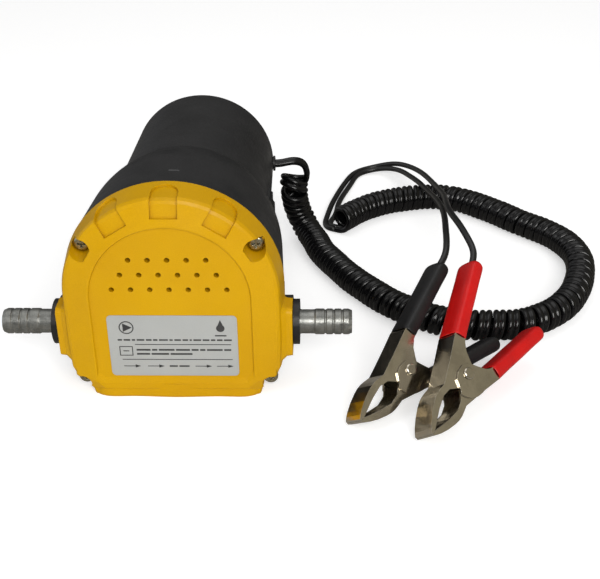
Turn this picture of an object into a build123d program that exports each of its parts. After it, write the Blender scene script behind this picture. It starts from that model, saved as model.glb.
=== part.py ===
from build123d import *
import math
import os

# 12 V fluid transfer pump: a gear pump and its motor in a two-part casing that
# stands on a flat foot, a hose barb each side, a rocker switch, and a coiled
# cord that ends in a red and a black battery clip.
# Frame: millimetres, +Z up, z = 0 is the floor the foot stands on. x = 0 is the
# casing's plane of symmetry. y = 0 is the parting plane between the front cover
# (-Y) and the rear housing (+Y), and both hose barbs lie in it. The outlet, the
# switch and the cord are on the +X side.

# ---------------------------------------------------------- shared dimensions
GEAR_MODULE, GEAR_TEETH = 2.0, 11
AXIS_Z = 53.5                                 # motor and drive gear axis
PORT_Z = AXIS_Z - GEAR_MODULE * GEAR_TEETH    # hose barb and driven gear axis
ARCH_R = 52.2          # arch of the casing at the parting plane
SIDE_X = 52.5          # half width of the casing at barb height
FOOT_X = 40.8          # half width of the foot
WALL = 2.6
PORT_HOLE_R = 9.45     # opening in the casing around each hose fitting
PORT_PAD_X = 56.0      # outer face of the port pads
TOP_SCREW = (40.0, 78.5)    # x, z of the casing screws
LOW_SCREW = (45.0, 6.7)
TOP_SEAT_Y, LOW_SEAT_Y = -7.0, -9.0    # where their heads bear
SHAFT_R = 4.0
RUN = 0.03             # radial running clearance
SNUG = 0.01            # radial clearance of a seated part
BUSH_R, BEARING_R = 6.0, 8.0
SWITCH_Y = 75.0
CABLE_Y, CABLE_Z = 142.0, 53.0
LEAD_R = 1.65
SIDES = (-1, 1)

parts = {}


# -------------------------------------------------------------------- helpers
def front(y):
    """Sketch plane at a given y: sketch x is X, sketch y is Z, it extrudes to -Y."""
    return Plane(origin=(0, y, 0), x_dir=(1, 0, 0), z_dir=(0, -1, 0))


def upright_cyl(radius, height):
    return Cylinder(radius, height, align=(Align.CENTER, Align.CENTER, Align.MIN))


def cyl_y(radius, y0, y1, x=0.0, z=AXIS_Z):
    return Pos(x, y0, z) * Rot(-90, 0, 0) * upright_cyl(radius, y1 - y0)


def cyl_x(radius, x0, x1, y=0.0, z=PORT_Z):
    return Pos(x0, y, z) * Rot(0, 90, 0) * upright_cyl(radius, x1 - x0)


def cyl_z(radius, z0, z1, x=0.0, y=0.0):
    return Pos(x, y, z0) * upright_cyl(radius, z1 - z0)


def box(x0, x1, y0, y1, z0, z1):
    return Pos((x0 + x1) / 2, (y0 + y1) / 2, (z0 + z1) / 2) * Box(
        x1 - x0, y1 - y0, z1 - z0)


def both(shape):
    """The shape and its mirror image on the other side of x = 0."""
    return shape + mirror(shape, about=Plane.YZ)


def around_axis(angle, shape):
    """The shape turned about the motor axis."""
    return Pos(0, 0, AXIS_Z) * Rot(0, angle, 0) * Pos(0, 0, -AXIS_Z) * shape


def ruled(*sections):
    return loft(list(sections), ruled=True)


def tube(points, radius):
    path = Spline(*points)
    section = Plane(origin=path @ 0, z_dir=path % 0) * Circle(radius)
    return sweep(section, path=path)


def group(shapes):
    """Compound of the first solid of each shape."""
    return Compound(children=[shape.solids()[0] for shape in shapes])


def mirrored_points(side):
    return [(-x, z) for x, z in reversed(side)]


def symmetric_face(y, side):
    """Polygon at depth y from the (x, z) points of its +X side."""
    return make_face(front(y) * Polyline(*side, *mirrored_points(side), close=True))


def arched_face(y, side):
    """Face at depth y under a round arch; side runs down from the arch's +X end."""
    left = mirrored_points(side)
    with BuildSketch(front(y)) as sketch:
        with BuildLine():
            Polyline(*side)
            Line(side[-1], left[0])
            Polyline(*left)
            ThreePointArc(left[-1], (0, AXIS_Z + side[0][0]), side[0])
        make_face()
    return sketch.sketch.faces()[0]


def outline(y, inset, foot=0.0, low=0.0):
    """Casing outline drawn in by inset, the foot's sides by foot, its base raised by low."""
    side_x = SIDE_X - inset
    foot_x = FOOT_X - foot
    return arched_face(y, [
        (ARCH_R - inset, AXIS_Z), (side_x, 30.0), (side_x - 0.6, 15.0),
        (side_x - 3.0, 9.4 + low), (foot_x + 2.4, 9.0 + low), (foot_x, low)])


def arch(y, radius, bottom, corner):
    """Plain arch outline: round top, straight sides, cut lower corners."""
    return arched_face(y, [
        (radius, AXIS_Z), (radius, bottom + corner), (radius - corner, bottom)])


def pan_screw(head_r, head_h, shank_r, x, y, z, length=19.0):
    """Cross-head screw along +Y, its head bearing at y."""
    head = Pos(x, y, z) * Rot(90, 0, 0) * upright_cyl(head_r, head_h)
    head = fillet(head.edges().sort_by(Axis.Y)[0], head_h * 0.45)
    shank = cyl_y(shank_r, y, y + length, x, z)
    reach, half_slot = head_r * 0.55, 0.45
    slot_y = (y - head_h - 1, y - head_h * 0.4)
    slot = box(x - reach, x + reach, *slot_y, z - half_slot, z + half_slot)
    slot += box(x - half_slot, x + half_slot, *slot_y, z - reach, z + reach)
    return head + shank - slot


# ---------------------------------------------------------------- front cover
COVER_EDGE_Y = -13.4   # where the cover's side turns in towards the rim
COVER_ROUND_Y = -15.2
COVER_RIM_Y = -16.0    # front of the cover's rim
COVER_BAND_Y = -18.9   # crest of the cover's raised band
PANEL_Y = -17.9        # recessed front panel
PANEL_R = 37.2         # arch of the recessed panel
FOOT_STEP_X = FOOT_X - 0.4
FOOT_BACK_Y, FOOT_SIDE_Y = -10, -14.4
FOOT_HEIGHT = 7.5
# (x, y) of the foot's bowed front edge between its two ends
FOOT_BOW = [(-37.6, -16.9), (-24, -18.4), (0, -19.1), (24, -18.4), (37.6, -16.9)]
FLUTE_R = 6.2
FLUTE_BASE = 41.5      # height of the flute cutters above the motor axis
FLUTE_DEPTH = 1.15
VENT_R = 1.25
VENT_PITCH_X, VENT_PITCH_Z = 8.86, 7.67
VENT_TOP_Z = 74.5
VENT_ROWS = (5, 6, 7)  # holes per row, from the top
LABEL_X, LABEL_Z0, LABEL_Z1 = 30.5, 12.0, 45.5


def cover_body(inset):
    """Outer form of the cover, drawn in on every side except the parting plane."""
    def section(y, side, foot):
        return outline(y + inset, side + inset, foot + inset, inset)

    main = ruled(outline(0, inset, inset, inset), section(COVER_EDGE_Y, 1.4, 0.2))
    turn = ruled(section(COVER_EDGE_Y, 1.4, 0.2), section(COVER_ROUND_Y, 2.1, 0.6))
    rim = ruled(section(COVER_ROUND_Y, 2.1, 0.6), section(COVER_RIM_Y, 3.6, 1.5))
    band = ruled(arch(COVER_RIM_Y + inset, 48.4 - inset, 3.0 + inset, 8.0),
                 arch(COVER_BAND_Y + inset, 38.4 - inset, 5.0 + inset, 4.0))
    return main + turn + rim + band


def cover_foot():
    """Foot block with a bowed front edge."""
    left_back, left_front = (-FOOT_STEP_X, FOOT_BACK_Y, 0), (-FOOT_STEP_X, FOOT_SIDE_Y, 0)
    right_back, right_front = (FOOT_STEP_X, FOOT_BACK_Y, 0), (FOOT_STEP_X, FOOT_SIDE_Y, 0)
    plan = make_face(Wire([
        Edge.make_line(left_back, left_front),
        Edge.make_spline([left_front, *[(x, y, 0) for x, y in FOOT_BOW], right_front]),
        Edge.make_line(right_front, right_back),
        Edge.make_line(right_back, left_back)]))
    return extrude(plan, FOOT_HEIGHT, dir=(0, 0, 1))


def port_boss():
    """Flared pad around the +X hose port, on the cover's side of the parting plane."""
    def section(x, half_y, half_z):
        return Plane(origin=(x, 0, PORT_Z), x_dir=(0, 1, 0), z_dir=(1, 0, 0)) * \
            RectangleRounded(2 * half_y, 2 * half_z, 3.0)

    flare = ruled(section(48.5, 15.0, 17.0), section(53.2, 12.2, 13.4))
    pad = ruled(section(53.2, 12.2, 13.4), section(PORT_PAD_X, 11.9, 13.1))
    return (flare + pad) & box(40, 60, -30, 0, -10, 80)


def front_cover():
    cover = cover_body(0.0) + cover_foot()
    cover -= ruled(arch(PANEL_Y, PANEL_R, 11.0, 3.0),
                   arch(COVER_BAND_Y - 0.4, PANEL_R + 0.7, 7.0, 3.0))
    # hollow inside, open at the parting plane
    cover -= ruled(outline(0.2, WALL, WALL, WALL),
                   outline(-13.9, WALL + 2.4, WALL + 1.4, WALL))
    # the screw posts are clipped to the outer form
    cover += both(cyl_y(6.4, -15.5, 0, *TOP_SCREW)) & cover_body(0.0)
    cover += both(cyl_y(4.9, -15.0, 0, *LOW_SCREW)) & cover_body(0.0)
    cover += both(port_boss())
    # head wells, the upper pair widening towards the front, and shank holes
    well_r, shank_hole_r = 4.3, 2.15
    for side in SIDES:
        x, z = side * TOP_SCREW[0], TOP_SCREW[1]
        cover -= cyl_y(well_r, -24, TOP_SEAT_Y, x, z)
        cover -= Pos(x, -9.0, z) * Rot(90, 0, 0) * Cone(
            well_r, 5.4, 8.5, align=(Align.CENTER, Align.CENTER, Align.MIN))
        cover -= cyl_y(shank_hole_r, TOP_SEAT_Y - 1, 1, x, z)
        x, z = side * LOW_SCREW[0], LOW_SCREW[1]
        cover -= cyl_y(3.75, -24, LOW_SEAT_Y, x, z)
        cover -= cyl_y(shank_hole_r, LOW_SEAT_Y - 1, 1, x, z)
    cover -= cyl_x(PORT_HOLE_R, 40, 60)
    cover -= cyl_x(PORT_HOLE_R, -60, -40)
    # three grip flutes across the top edge of the rim
    flute_floor = cover_body(FLUTE_DEPTH)
    flute = Pos(0, 0, AXIS_Z + FLUTE_BASE) * extrude(
        (Pos(0, -15.7) * Rectangle(2 * FLUTE_R, 14)) + (Pos(0, -9.0) * Circle(FLUTE_R)), 20)
    for angle in (0.0, 32.0, -32.0):
        cover -= around_axis(angle, flute) - flute_floor
    for row, count in enumerate(VENT_ROWS):
        for i in range(count):
            cover -= cyl_y(VENT_R, -25, -10, (i - (count - 1) / 2) * VENT_PITCH_X,
                           VENT_TOP_Z - row * VENT_PITCH_Z)
    return cover


def rating_label():
    plane = Plane(origin=(0, PANEL_Y - 0.02, (LABEL_Z0 + LABEL_Z1) / 2), x_dir=(1, 0, 0),
                  z_dir=(0, -1, 0))
    return extrude(plane * RectangleRounded(2 * LABEL_X, LABEL_Z1 - LABEL_Z0, 2.2), 0.2)


parts["front_cover"] = front_cover()
parts["rating_label"] = rating_label()

# --------------------------------------------------------------- rear housing
HOUSING_END_Y = 151.0
CAN_R = 26.0           # outside of the motor can
LAND_X = 41.6          # outer face of the switch landing
# (radius, y) of the housing's curved flank, then of the step behind it
DOME_FLANK = [(ARCH_R, 0), (51.4, 10), (50.8, 20), (50.2, 30),
              (49.6, 38), (48.2, 46), (46.2, 54), (43.9, 61)]
DOME_STEP = [(43.9, 61), (42.7, 62.6), (41.75, 64.8)]
DOME_END_R, DOME_FLAT_R = 40.1, 35.1    # before and after the rounded rear corner


def dome(inset):
    """Outer skin of the housing about the motor axis, drawn in by inset."""
    end = HOUSING_END_Y - inset
    corner = (DOME_END_R - inset, end - 6.0)
    flat = (DOME_FLAT_R - inset, end)
    plane = Plane(origin=(0, 0, AXIS_Z), x_dir=(1, 0, 0), z_dir=(0, 0, 1))
    with BuildSketch(plane) as sketch:
        with BuildLine():
            Line((0, 0), (ARCH_R - inset, 0))
            Spline(*[(r - inset, y) for r, y in DOME_FLANK])
            Polyline(*[(r - inset, y) for r, y in DOME_STEP], corner)
            RadiusArc(corner, flat, -6.5)
            Line(flat, (0, end))
            Line((0, end), (0, 0))
        make_face()
    return revolve(sketch.sketch, Axis((0, 0, AXIS_Z), (0, 1, 0)), 360)


def skirt(inset):
    """Lower sides and foot of the housing, drawn in by inset."""
    x0, x1 = SIDE_X - 0.2 - inset, 45.5 - inset
    sides = ruled(
        symmetric_face(0.0, [(x0, AXIS_Z), (x0, 15.0 + inset), (x0 - 3.0, 9.4 + inset)]),
        symmetric_face(44.0 - inset,
                       [(x1 - 2, AXIS_Z), (x1, 24.0 + inset), (x1 - 10.0, 12.0 + inset)]))
    x0, x1 = FOOT_X - inset, 31.0 - inset
    foot = ruled(symmetric_face(0.0, [(x0, inset), (x0 + 2.4, 14.0)]),
                 symmetric_face(92.0 - inset, [(x1, inset), (x1 - 3.0, 24.0)]))
    return sides + foot


def rear_housing():
    shell_out = dome(0.0) + skirt(0.0)
    shell_in = dome(WALL) + skirt(WALL)
    # carry the hollow just past the parting plane so the front is cut open
    shell_in = shell_in + (Pos(0, -0.2, 0) * (shell_in & box(-60, 60, 0, 3, 0, 110)))
    housing = shell_out - shell_in
    posts = both(cyl_y(5.2, 0, 15, *TOP_SCREW)) & shell_out
    posts = posts + both(cyl_y(4.3, 0, 14, *LOW_SCREW))
    housing += posts
    housing += both(cyl_x(12.9, 47.5, PORT_PAD_X) & box(40, 60, 0, 30, -10, 80))
    # landing for the rocker switch
    housing += box(37.5, LAND_X, SWITCH_Y - 12, SWITCH_Y + 12, AXIS_Z - 9, AXIS_Z + 9) & box(
        37.5, 60, 55, 90, 30, 80)
    # ribs that hold the motor
    rib = box(-1.2, 1.2, 66, 112, AXIS_Z + CAN_R + 0.15, AXIS_Z + 40)
    ribs = around_axis(55, rib)
    for angle in (0, -55, -125, -180, -235):
        ribs = ribs + around_axis(angle, rib)
    housing += ribs & dome(WALL - 0.8)
    for side in SIDES:
        for x, z in (TOP_SCREW, LOW_SCREW):
            housing -= cyl_y(2.0, -1, 13.2, side * x, z)
    housing -= cyl_x(PORT_HOLE_R, -60, -40)
    housing -= cyl_x(PORT_HOLE_R, 40, 60)
    # switch opening, clearance around the bezel, cord hole
    housing -= box(28, 45, SWITCH_Y - 9.6, SWITCH_Y + 9.6, AXIS_Z - 6.5, AXIS_Z + 6.5)
    housing -= box(LAND_X, 45, SWITCH_Y - 10.8, SWITCH_Y + 10.8, AXIS_Z - 7.8, AXIS_Z + 7.8)
    housing -= cyl_x(3.6, 30, 45, CABLE_Y, CABLE_Z)
    return housing


parts["rear_housing"] = rear_housing()
parts["cover_screws"] = group(
    pan_screw(3.6, 2.5, 1.94, side * x, seat_y, z)
    for (x, z), seat_y in ((TOP_SCREW, TOP_SEAT_Y), (LOW_SCREW, LOW_SEAT_Y))
    for side in SIDES)

# ------------------------------------------------------------------ gear pump
GEAR_TIP_R, GEAR_ROOT_R = 12.55, 8.7
GEAR_Y0, GEAR_Y1 = -4.94, 4.94
PRESSURE_ANGLE = 20
FLANK_STEPS = 6
POCKET_R = GEAR_TIP_R + 0.07
PUMP_R = 19.0          # round ends of the pump's outline
BODY_Y0, BODY_Y1 = -5.0, 14.0
GASKET_Y0, PLATE_Y0 = -5.4, -10.6
SEAL_SEAT_Y = 9.2      # step from the bush seat to the seal seat
PUMP_SCREWS = [(side * 9.3, z) for side in SIDES for z in (AXIS_Z + 16.7, PORT_Z - 16.7)]
MOUNT_X, MOUNT_Z = 13.6, AXIS_Z + 4    # motor mounting screws


def gear(axis_z, phase_deg, bore_r):
    pitch_r = GEAR_TEETH * GEAR_MODULE / 2
    base_r = pitch_r * math.cos(math.radians(PRESSURE_ANGLE))
    # half the tooth angle at the pitch circle, less 0.055 mm for backlash
    half_at_pitch = math.pi / (2 * GEAR_TEETH) - 0.055 / pitch_r

    def involute(radius):
        angle = math.acos(min(1.0, base_r / radius))
        return math.tan(angle) - angle

    flank = []    # (radius, half tooth angle)
    start_r = base_r + 0.001
    for k in range(FLANK_STEPS + 1):
        radius = start_r + (GEAR_TIP_R - start_r) * k / FLANK_STEPS
        flank.append((radius, half_at_pitch + involute(pitch_r) - involute(radius)))
    root_half = flank[0][1] - 0.028
    polar = []
    for i in range(GEAR_TEETH):
        mid = math.radians(phase_deg) + 2 * math.pi * i / GEAR_TEETH
        polar.append((GEAR_ROOT_R, mid - root_half))
        polar += [(r, mid - half) for r, half in flank]
        polar += [(r, mid + half) for r, half in reversed(flank)]
        polar.append((GEAR_ROOT_R, mid + root_half))
    points = [(r * math.cos(a), axis_z + r * math.sin(a)) for r, a in polar]
    face = make_face(front(GEAR_Y1) * Polyline(*points, close=True))
    return extrude(face, GEAR_Y1 - GEAR_Y0) - cyl_y(
        bore_r, GEAR_Y0 - 1, GEAR_Y1 + 1, 0, axis_z)


def pump_outline(y0, y1):
    """Slab with round ends about the two gear axes."""
    with BuildSketch(front(y1)) as sketch:
        with Locations((0, AXIS_Z), (0, PORT_Z)):
            Circle(PUMP_R)
        with Locations((0, (AXIS_Z + PORT_Z) / 2)):
            Rectangle(2 * PUMP_R, AXIS_Z - PORT_Z)
    return extrude(sketch.sketch, y1 - y0)


def gear_pockets(y1):
    return cyl_y(POCKET_R, -6, y1, 0, AXIS_Z) + cyl_y(POCKET_R, -6, y1, 0, PORT_Z)


def pump_body():
    body = pump_outline(BODY_Y0, BODY_Y1)
    body += both(cyl_x(10.0, 19.6, 34.0)) + both(
        box(15, 26, 2, BODY_Y1, PORT_Z - 9, PORT_Z + 9))
    body -= gear_pockets(5.0)
    # barb seats, then the narrower bores and the passages to the gears
    body -= cyl_x(6.7, 24.4, 40) + cyl_x(6.7, -40, -24.4)
    body -= cyl_x(4.3, 14.6, 30) + cyl_x(4.3, -30, -14.6)
    body -= both(box(14.2, 17.2, -4, 4, PORT_Z, 46.5)) + both(box(5.0, 17.2, -4, 4, 39.5, 46.5))
    body -= cyl_y(SHAFT_R + SNUG, 0, 11.5, 0, PORT_Z)       # idler pin seat
    body -= cyl_y(BUSH_R + SNUG, 0, SEAL_SEAT_Y, 0, AXIS_Z)
    body -= cyl_y(BEARING_R + SNUG, SEAL_SEAT_Y, 15, 0, AXIS_Z)
    for x, z in PUMP_SCREWS:
        body -= cyl_y(1.6, -6, 10, x, z)
    body -= both(cyl_y(1.6, 4, 15, MOUNT_X, MOUNT_Z))
    return body


def pump_cover_gasket():
    gasket = pump_outline(GASKET_Y0, BODY_Y0)
    gasket -= gear_pockets(-4)
    for x, z in PUMP_SCREWS:
        gasket -= cyl_y(1.8, -6, -4, x, z)
    return gasket


def pump_cover_plate():
    plate = pump_outline(PLATE_Y0, GASKET_Y0)
    plate -= cyl_y(SHAFT_R + RUN, -9.0, -5, 0, AXIS_Z) + cyl_y(SHAFT_R + SNUG, -9.0, -5, 0, PORT_Z)
    for x, z in PUMP_SCREWS:
        plate -= cyl_y(1.8, -12, -4, x, z)
    return plate


def shaft_seal():
    """Ring with an annular groove in its rear face."""
    groove = cyl_y(6.4, 10.6, 14) - cyl_y(5.0, 10, 14)
    return cyl_y(BEARING_R, 9.3, 13.6) - cyl_y(SHAFT_R + RUN, 9, 14) - groove


parts["drive_gear"] = gear(AXIS_Z, -90, SHAFT_R)
parts["driven_gear"] = gear(PORT_Z, 90 + 180 / GEAR_TEETH, SHAFT_R + RUN)
parts["pump_body"] = pump_body()
parts["pump_cover_gasket"] = pump_cover_gasket()
parts["pump_cover_plate"] = pump_cover_plate()
parts["pump_cover_screws"] = group(
    pan_screw(3.0, 2.2, 1.55, x, PLATE_Y0, z) for x, z in PUMP_SCREWS)
parts["idler_pin"] = cyl_y(SHAFT_R, -8.9, 11.4, 0, PORT_Z)
parts["pump_bush"] = cyl_y(BUSH_R, 5.1, 9.1) - cyl_y(SHAFT_R + RUN, 4, 10)
parts["shaft_seal"] = shaft_seal()

# ---------------------------------------------------------------------- motor
CAN_END_Y = 98.0
CAN_BORE_R = CAN_R - 2.0
TAIL_R = 3.0           # shaft's reduced rear end
SLOTS = 10             # armature slots and commutator bars
SLOT_ANGLE = 360 // SLOTS
BRUSH_Y0, BRUSH_Y1 = 91.0, 96.0
TERMINAL_Z = 6         # motor terminals above and below the axis
# (radius, y) of the shaft
SHAFT_PROFILE = [(0, -8.6), (SHAFT_R - 0.4, -8.6), (SHAFT_R, -8.2), (SHAFT_R, 98.6),
                 (TAIL_R, 98.6), (TAIL_R, 110.6), (2.6, 111.0), (0, 111.0)]


def motor_shaft():
    wire = Polyline(*[(r, y, AXIS_Z) for r, y in SHAFT_PROFILE], close=True)
    return revolve(make_face(wire), Axis((0, 0, AXIS_Z), (0, 1, 0)), 360)


def motor_can():
    can = cyl_y(CAN_R, 14.3, CAN_END_Y) - cyl_y(CAN_BORE_R, 17.0, CAN_END_Y + 1)
    can += cyl_y(11.0, 15, 22.5)    # bearing hub
    can -= cyl_y(BEARING_R + SNUG, 13, 24)
    can -= both(cyl_y(1.9, 13, 18, MOUNT_X, MOUNT_Z))
    return can


def magnet(mid_deg, span_deg=130):
    y0, y1 = 26, 88
    ring = cyl_y(23.97, y0, y1) - cyl_y(19.6, y0 - 1, y1 + 1)
    start, end = math.radians(mid_deg - span_deg / 2), math.radians(mid_deg + span_deg / 2)
    reach = 60
    points = [(0, AXIS_Z)]
    for k in range(5):
        angle = start + (end - start) * k / 4
        points.append((reach * math.cos(angle), AXIS_Z + reach * math.sin(angle)))
    return ring & extrude(make_face(front(y1) * Polyline(*points, close=True)), y1 - y0)


def armature_core():
    core = cyl_y(18.9, 34, 80)
    slot = (box(-3.0, 3.0, 33, 81, AXIS_Z + 9.6, AXIS_Z + 16.6) +
            box(-0.9, 0.9, 33, 81, AXIS_Z + 16, AXIS_Z + 20))
    for k in range(SLOTS):
        core -= around_axis(SLOT_ANGLE * k, slot)
    return core - cyl_y(SHAFT_R, 30, 90)


def armature_windings():
    """A ring at each end of the core, joined by bars in the slots."""
    outer_r, inner_r = 17.6, 6.0
    wind = (cyl_y(outer_r, 26.5, 33.9) - cyl_y(inner_r, 26, 34)) + (
        cyl_y(outer_r, 80.1, 87.5) - cyl_y(inner_r, 80, 88))
    wind = fillet(wind.edges().filter_by(GeomType.CIRCLE).group_by(Axis.Y)[0], 1.6)
    bar = box(-2.85, 2.85, 33.5, 80.5, AXIS_Z + 9.9, AXIS_Z + 16.4)
    for k in range(SLOTS):
        wind += around_axis(SLOT_ANGLE * k, bar)
    return wind


def commutator():
    comm = cyl_y(9.0, 89, 98.0) - cyl_y(SHAFT_R, 88, 99)
    gap = box(-0.35, 0.35, 88, 99, AXIS_Z + 8.0, AXIS_Z + 10)
    for k in range(SLOTS):
        comm -= around_axis(SLOT_ANGLE / 2 + SLOT_ANGLE * k, gap)
    return comm


def motor_end_cap():
    cap = cyl_y(CAN_R, CAN_END_Y, 114.0) - cyl_y(CAN_BORE_R, CAN_END_Y - 1, 111.6)
    cap += cyl_y(9.0, 100.4, 113)    # bearing hub
    cap -= cyl_y(BUSH_R + SNUG, 99, 112.0)
    for side in SIDES:
        mid_z = AXIS_Z + side * TERMINAL_Z
        cap -= box(14.0, 16.4, 110, 116, mid_z - 3.2, mid_z + 3.2)
    return cap


def brush_box(side, half_x, margin_y, near, far):
    """Box over the brushes' y range, from near to far above or below the axis."""
    low, high = sorted((AXIS_Z + side * near, AXIS_Z + side * far))
    return box(-half_x, half_x, BRUSH_Y0 - margin_y, BRUSH_Y1 + margin_y, low, high)


def brush_holder(side):
    return brush_box(side, 3.4, 0.9, 10.6, 21.6) - brush_box(side, 2.55, 0.05, 10, 20.8)


def brush_spring(side):
    z_start = AXIS_Z + min(side * 15.4, side * 20.4)
    coil_r = 1.7
    return Pos(0, (BRUSH_Y0 + BRUSH_Y1) / 2, z_start) * sweep(
        Plane(origin=(coil_r, 0, 0), z_dir=(0, 1, 0)) * Circle(0.3),
        path=Helix(1.15, 5.0, coil_r))


def motor_terminal(side):
    mid_z = AXIS_Z + side * TERMINAL_Z
    return box(14.8, 15.6, 108.5, 121.0, mid_z - 2.4, mid_z + 2.4)


parts["motor_shaft"] = motor_shaft()
parts["motor_can"] = motor_can()
parts["front_bearing"] = cyl_y(BEARING_R, 14.6, 22.3) - cyl_y(SHAFT_R + RUN, 14, 23)
parts["motor_mount_screws"] = group(
    cyl_y(1.55, 5.6, 17.1, side * MOUNT_X, MOUNT_Z) +
    cyl_y(2.7, 17.05, 19.2, side * MOUNT_X, MOUNT_Z) for side in SIDES)
parts["field_magnets"] = group(magnet(mid) for mid in (0, 180))
parts["armature_core"] = armature_core()
parts["armature_windings"] = armature_windings()
parts["commutator"] = commutator()
parts["motor_end_cap"] = motor_end_cap()
parts["rear_bearing"] = cyl_y(BUSH_R, 100.6, 110.0) - cyl_y(TAIL_R + RUN, 100, 111)
parts["brushes"] = group(brush_box(side, 2.5, 0, 9.05, 15.0) for side in SIDES)
parts["brush_holders"] = group(brush_holder(side) for side in SIDES)
parts["brush_springs"] = group(brush_spring(side) for side in SIDES)
parts["motor_terminals"] = group(motor_terminal(side) for side in SIDES)

# ----------------------------------------------------------------- hose ports
BARB_TIP_X = 84.35
BARB_R, BARB_ROOT_R = 6.25, 5.75    # crest and groove radius, for 12 mm hose
BORE_R = 4.0
STEM_R = 6.0
HEX_X0, HEX_X1 = 35.9, 40.2
COLLAR_X0, COLLAR_X1, COLLAR_R = 56.15, 59.25, 11.0
# (radius, x) of the barb: threaded end, hexagon's core, stem, then four lands
# separated by three grooves
BARB_PROFILE = [
    (BORE_R, 24.6), (6.2, 24.6), (6.65, 25.2), (6.65, 34.1), (STEM_R, 34.4), (STEM_R, HEX_X0),
    (7.6, HEX_X0), (7.6, HEX_X1), (STEM_R, HEX_X1), (STEM_R, 59.6), (5.85, 60.2), (5.85, 66.2),
    (BARB_R, 67.0), (BARB_R, 70.9), (BARB_ROOT_R, 71.3), (BARB_ROOT_R, 71.7),
    (BARB_R, 72.3), (BARB_R, 74.9), (BARB_ROOT_R, 75.3), (BARB_ROOT_R, 75.7),
    (BARB_R, 76.3), (BARB_R, 79.0), (BARB_ROOT_R, 79.4), (BARB_ROOT_R, 79.8),
    (BARB_R, 80.4), (BARB_R, 82.6), (5.5, BARB_TIP_X), (BORE_R, BARB_TIP_X)]


def barb():
    wire = Polyline(*[(x, r, 0) for r, x in BARB_PROFILE], close=True)
    stem = revolve(make_face(wire), Axis.X, 360)
    hexagon = extrude(Plane(origin=(HEX_X0, 0, 0), x_dir=(0, 1, 0), z_dir=(1, 0, 0)) *
                      RegularPolygon(9.0, 6), HEX_X1 - HEX_X0)
    return Pos(0, 0, PORT_Z) * (stem + (hexagon - cyl_x(7.0, 30, 45, 0, 0)))


def port_collar():
    collar = cyl_x(COLLAR_R, COLLAR_X0, COLLAR_X1) - cyl_x(STEM_R + 0.06, 50, 62)
    outer_edge = collar.edges().filter_by(GeomType.CIRCLE).sort_by(Axis.X)[-1:]
    return fillet(outer_edge, 0.5)


parts["outlet_barb"] = barb()
parts["inlet_barb"] = mirror(parts["outlet_barb"], about=Plane.YZ)
parts["outlet_collar"] = port_collar()
parts["inlet_collar"] = mirror(parts["outlet_collar"], about=Plane.YZ)
seal_ring = cyl_x(8.7, 34.08, 35.8) - cyl_x(6.75, 34, 36)
parts["port_seals"] = group([seal_ring, mirror(seal_ring, about=Plane.YZ)])

# -------------------------------------------------------------- rocker switch
BEZEL_X0, BEZEL_X1 = LAND_X + 0.02, 42.9
PIVOT_X, PIVOT_R = 40.0, 1.0
ROCKER_HALF_Z = 5.6
SWITCH_TERMINAL_PITCH = 6.5
# (x, y) of the rocker's side outline, measured from its pivot
ROCKER_OUTLINE = [(4.4, 0.2), (4.4, -7.35), (3.2, -7.95), (1.6, -8.4), (-0.3, -8.52),
                  (-2.45, -2.5), (-2.45, 2.5), (-0.3, 8.52), (1.0, 8.50), (1.75, 8.35),
                  (4.15, 1.2)]


def switch_box(x0, x1, half_y, half_z):
    return box(x0, x1, SWITCH_Y - half_y, SWITCH_Y + half_y, AXIS_Z - half_z, AXIS_Z + half_z)


def switch_body():
    body = switch_box(30.2, BEZEL_X0, 9.5, 6.4)
    bezel = switch_box(BEZEL_X0, BEZEL_X1, 10.5, 7.5)
    bezel = fillet(bezel.edges().group_by(Axis.X)[-1], 0.6)
    body = body + bezel
    body -= switch_box(36.4, 44, 8.75, 5.75)
    body -= cyl_z(PIVOT_R + 0.06, AXIS_Z - 6.6, AXIS_Z + 6.6, PIVOT_X, SWITCH_Y)
    return body


def switch_rocker():
    plane = Plane(origin=(PIVOT_X, SWITCH_Y, AXIS_Z - ROCKER_HALF_Z), x_dir=(1, 0, 0),
                  z_dir=(0, 0, 1))
    rocker = extrude(plane * make_face(Polyline(*ROCKER_OUTLINE, close=True)),
                     2 * ROCKER_HALF_Z)
    return rocker + cyl_z(PIVOT_R, AXIS_Z - 6.3, AXIS_Z + 6.3, PIVOT_X, SWITCH_Y)


def switch_terminal(y):
    """Blade through the switch's inner wall, with a tab bent towards +Y."""
    z0, z1 = AXIS_Z - 2.4, AXIS_Z + 2.4
    return box(28.6, 31.0, y - 0.4, y + 0.4, z0, z1) + box(28.6, 29.4, y - 0.4, y + 4.4, z0, z1)


parts["switch_rocker"] = switch_rocker()
parts["switch_terminals"] = group(
    switch_terminal(SWITCH_Y + i * SWITCH_TERMINAL_PITCH) for i in (-1, 0, 1))
parts["switch_body"] = switch_body() - parts["switch_terminals"]

# ------------------------------------------------------------- cord and leads
COIL_R, COIL_IN_R = 8.15, 4.7    # the coiled length is modelled as a thick tube
# all routes below are (x, y, z) points on a wire's centre line
WIRES = [
    [(32.8, CABLE_Y, CABLE_Z + 1.3), (30, 136, 54.5), (30.6, 118, 54), (30.4, 104, 53.6),
     (29.4, 94, 53.5), (29.0, 86.2, 53.5)],
    [(32.8, CABLE_Y, CABLE_Z - 1.3), (27, 138, 51), (18.5, 128, 48.5), (15.2, 121.6, 47.5)],
    [(29.0, 77.2, 56.1), (29.2, 79.0, 60.6), (30.0, 92, 63.0), (27.6, 112, 64),
     (18.5, 126, 60.5), (15.2, 121.6, 59.5)],
]
COIL_DROP = [
    (53.2, 146.8, 44.0), (52.3, 143.8, 39.5), (52.3, 143.0, 34.0), (52.9, 144.3, 27.5),
    (54.4, 145.4, 21.0), (56.5, 145.7, 15.5), (58.9, 143.3, 11.3), (61.4, 138.1, 9.2),
    (64.5, 130.6, 8.4)]
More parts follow.
